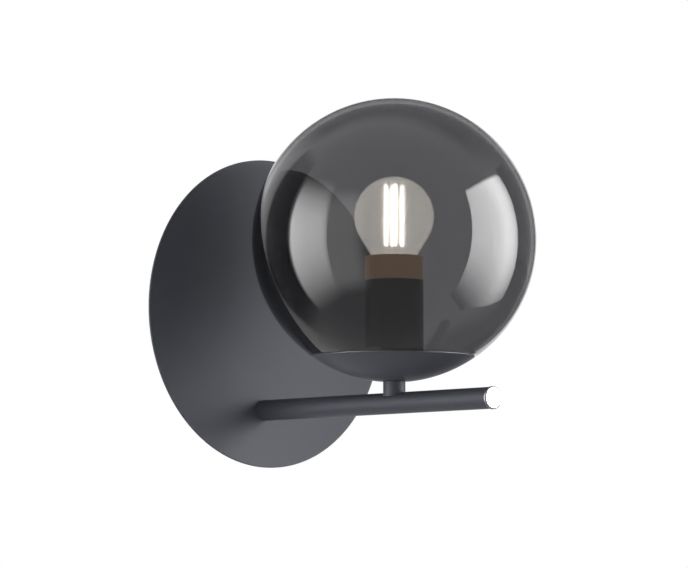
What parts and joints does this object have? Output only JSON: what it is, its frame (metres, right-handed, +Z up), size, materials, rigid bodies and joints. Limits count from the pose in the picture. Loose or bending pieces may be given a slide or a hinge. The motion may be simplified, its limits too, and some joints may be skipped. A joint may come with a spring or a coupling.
{
  "type": "globe wall sconce",
  "caption": "Wall sconce: a hollow round wall dish, a straight arm, and a smoked glass globe in a metal cup round a small golf-ball bulb.",
  "frame": {"origin": "middle of the wall bracket's slot pattern, on the wall face", "axes": "+Z up the wall, +Y into the wall (the lamp stands out along -Y), +X to the right seen from the room"},
  "size_m": [0.18, 0.2113, 0.2051],
  "materials": {
    "anthracite_paint": "satin powder coat",
    "zinc_steel": "zinc plated",
    "black_steel": "blackened",
    "black_rubber": "matte",
    "polished_chrome": "polished",
    "white_plastic": "moulded",
    "spring_steel": "blued spring temper",
    "smoked_glass": "smoked, clear",
    "clear_glass": "clear",
    "black_moulding": "moulded",
    "brown_moulding": "moulded phenolic",
    "black_sleeve": "gloss black",
    "brass": "bare",
    "nickel": "nickel plated",
    "black_glass": "glazed",
    "solder": "tinned",
    "circuit_board": "laminate",
    "brown_insulation": "silicone",
    "blue_insulation": "silicone",
    "earth_insulation": "silicone",
    "filament": "lit phosphor"
  },
  "bodies": {
    "fixture": {"wall_bracket": "zinc_steel", "cable_bush": "black_rubber", "back_box": "anthracite_paint", "side_screws": "black_steel", "front_dish": "anthracite_paint", "arm_seat": "zinc_steel", "arm_tube": "anthracite_paint", "end_cap": "polished_chrome", "root_nipple": "zinc_steel", "root_washer": "zinc_steel", "root_nut": "zinc_steel", "nipple_bushing": "white_plastic", "stem": "anthracite_paint", "stem_nipple": "zinc_steel", "cup": "anthracite_paint", "cup_gasket": "black_rubber", "globe_spring": "spring_steel", "cup_washer": "zinc_steel", "cup_nut": "zinc_steel", "holder_base": "black_moulding", "holder_body": "black_moulding", "holder_terminals": "brass", "holder_collar": "brown_moulding", "holder_sleeve": "black_sleeve", "screw_shell": "brass", "centre_contact": "brass", "terminal_block": "white_plastic", "terminal_barrels": "brass", "terminal_screws": "zinc_steel", "block_screws": "zinc_steel", "live_wire": "brown_insulation", "neutral_wire": "blue_insulation", "earth_wire": "earth_insulation", "earth_stud": "zinc_steel", "earth_lug": "solder", "earth_nut": "zinc_steel"},
    "globe": {"globe_glass": "smoked_glass"},
    "bulb_tip": {"bulb_contact": "solder", "bulb_insulator": "black_glass"},
    "bulb": {"bulb_glass": "clear_glass", "bulb_cap": "nickel", "bulb_mount": "clear_glass", "bulb_driver": "circuit_board", "filaments": "filament", "filament_frame": "nickel"}
  },
  "joints": [
    {"name": "globe_lift", "type": "slide", "parent": "fixture", "child": "globe", "axis": [0, 0, 1], "range_m": [0, 0.13]},
    {"name": "bulb_rise", "type": "slide", "parent": "fixture", "child": "bulb_tip", "axis": [0, 0, 1], "range_m": [0, 0.01272]},
    {"name": "bulb_turn", "type": "hinge", "parent": "bulb_tip", "child": "bulb", "pos_m": [0, -0.1313, 0.03507], "axis": [0, 0, 1], "range_deg": [0, 1620]}
  ],
  "couplings": [
    {"joint": "bulb_rise", "follows": "bulb_turn", "m_per_rad": 0.00044917}
  ]
}
